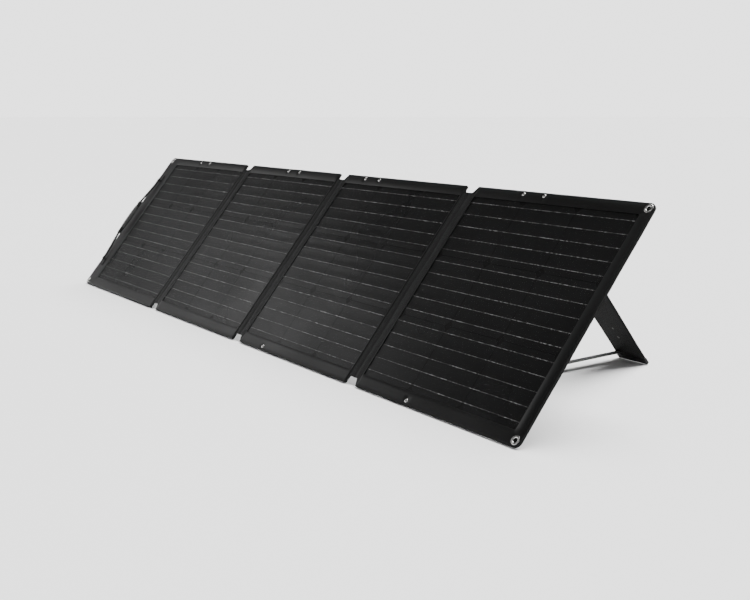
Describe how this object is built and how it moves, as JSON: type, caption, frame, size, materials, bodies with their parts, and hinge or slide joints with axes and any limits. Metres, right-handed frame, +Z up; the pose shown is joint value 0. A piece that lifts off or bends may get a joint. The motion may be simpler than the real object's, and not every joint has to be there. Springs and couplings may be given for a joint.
{
  "type": "folding solar panel",
  "caption": "Fabric-backed folding solar panel, opened flat and leaning back on fold-out kickstands, with cut-out corners at each fold, corner eyelets and a carrying handle.",
  "frame": {"origin": "middle of the footprint, on the ground", "axes": "+X along the panel's length, to the right as seen from the front; +Y from the front to the back; +Z up"},
  "size_m": [2.162, 0.6828, 0.4184],
  "materials": {
    "border_fabric": "matte black woven polyester",
    "clear_film": "clear textured fluoropolymer sheet, satin",
    "solar_cells": "very dark blue-black silicon with silver ribbons",
    "stiffener": "glass-fibre sheet",
    "cover_fabric": "matte black woven polyester",
    "fold_fabric": "smooth black coated fabric",
    "plated_metal": "bright nickel plate",
    "rubber": "matte black rubber",
    "webbing": "black woven webbing",
    "grip": "dark grey ribbed soft rubber",
    "black_plastic": "fine-grained black plastic"
  },
  "bodies": {
    "panel_4": {"back_cover_4": "cover_fabric", "board_4": "stiffener", "border_4": "border_fabric", "cells_4": "solar_cells", "eyelet_4_bottom": "plated_metal", "eyelet_4_top": "plated_metal", "film_4": "clear_film", "rivet_4_bottom": "plated_metal", "rivet_4_top_1": "plated_metal", "rivet_4_top_2": "plated_metal", "stand_4_tether": "webbing", "strip_3_4_right": "fold_fabric"},
    "panel_3": {"back_cover_3": "cover_fabric", "board_3": "stiffener", "border_3": "border_fabric", "cells_3": "solar_cells", "film_3": "clear_film", "rivet_3_bottom": "plated_metal", "rivet_3_top_1": "plated_metal", "rivet_3_top_2": "plated_metal", "strip_2_3_right": "fold_fabric", "strip_3_4_left": "fold_fabric"},
    "panel_2": {"back_cover_2": "cover_fabric", "board_2": "stiffener", "border_2": "border_fabric", "cells_2": "solar_cells", "film_2": "clear_film", "rivet_2_top_1": "plated_metal", "rivet_2_top_2": "plated_metal", "strip_1_2_right": "fold_fabric", "strip_2_3_left": "fold_fabric"},
    "panel_1": {"back_cover_1": "cover_fabric", "board_1": "stiffener", "border_1": "border_fabric", "cable_gland": "black_plastic", "cells_1": "solar_cells", "eyelet_1_bottom": "plated_metal", "eyelet_1_top": "plated_metal", "film_1": "clear_film", "handle_mount_lower": "black_plastic", "handle_mount_upper": "black_plastic", "junction_box_base": "black_plastic", "junction_box_lid": "black_plastic", "pouch": "cover_fabric", "rivet_1_top_1": "plated_metal", "rivet_1_top_2": "plated_metal", "stand_1_tether": "webbing", "strip_1_2_left": "fold_fabric", "zip_tape": "webbing"},
    "stand_4": {"stand_4_board": "stiffener", "stand_4_foot": "rubber", "stand_4_sleeve": "cover_fabric"},
    "stand_1": {"stand_1_board": "stiffener", "stand_1_foot": "rubber", "stand_1_sleeve": "cover_fabric"},
    "handle": {"handle_core": "rubber", "handle_grip": "grip", "handle_strap": "webbing"},
    "zip_slider": {"zip_slider": "plated_metal"}
  },
  "joints": [
    {"name": "fold_3_4", "type": "hinge", "parent": "panel_4", "child": "panel_3", "pos_m": [0.55, -0.17104, 0.21211], "axis": [0, 0.6374, 0.7705], "range_deg": [0, 180]},
    {"name": "fold_2_3", "type": "hinge", "parent": "panel_3", "child": "panel_2", "pos_m": [0.02, -0.16403, 0.20631], "axis": [0, -0.6374, -0.7705], "range_deg": [0, 180]},
    {"name": "fold_1_2", "type": "hinge", "parent": "panel_2", "child": "panel_1", "pos_m": [-0.51, -0.17104, 0.21211], "axis": [0, 0.6374, 0.7705], "range_deg": [0, 180]},
    {"name": "stand_4_fold", "type": "hinge", "parent": "panel_4", "child": "stand_4", "pos_m": [0.755, 0.00009, 0.39889], "axis": [-1, 0, 0], "range_deg": [0, 80], "deforming": ["stand_4_tether"]},
    {"name": "stand_1_fold", "type": "hinge", "parent": "panel_1", "child": "stand_1", "pos_m": [-0.815, 0.00009, 0.39889], "axis": [-1, 0, 0], "range_deg": [0, 80], "deforming": ["stand_1_tether"]},
    {"name": "handle_swing", "type": "hinge", "parent": "panel_1", "child": "handle", "pos_m": [-1.059, -0.17451, 0.21498], "axis": [0, 0.6374, 0.7705], "range_deg": [-40, 40]},
    {"name": "zip_slide", "type": "slide", "parent": "panel_1", "child": "zip_slider", "axis": [1, 0, 0], "range_m": [0, 0.132]}
  ],
  "couplings": [
    {"joint": "fold_2_3", "follows": "fold_3_4", "ratio": 1},
    {"joint": "fold_1_2", "follows": "fold_3_4", "ratio": 1}
  ]
}
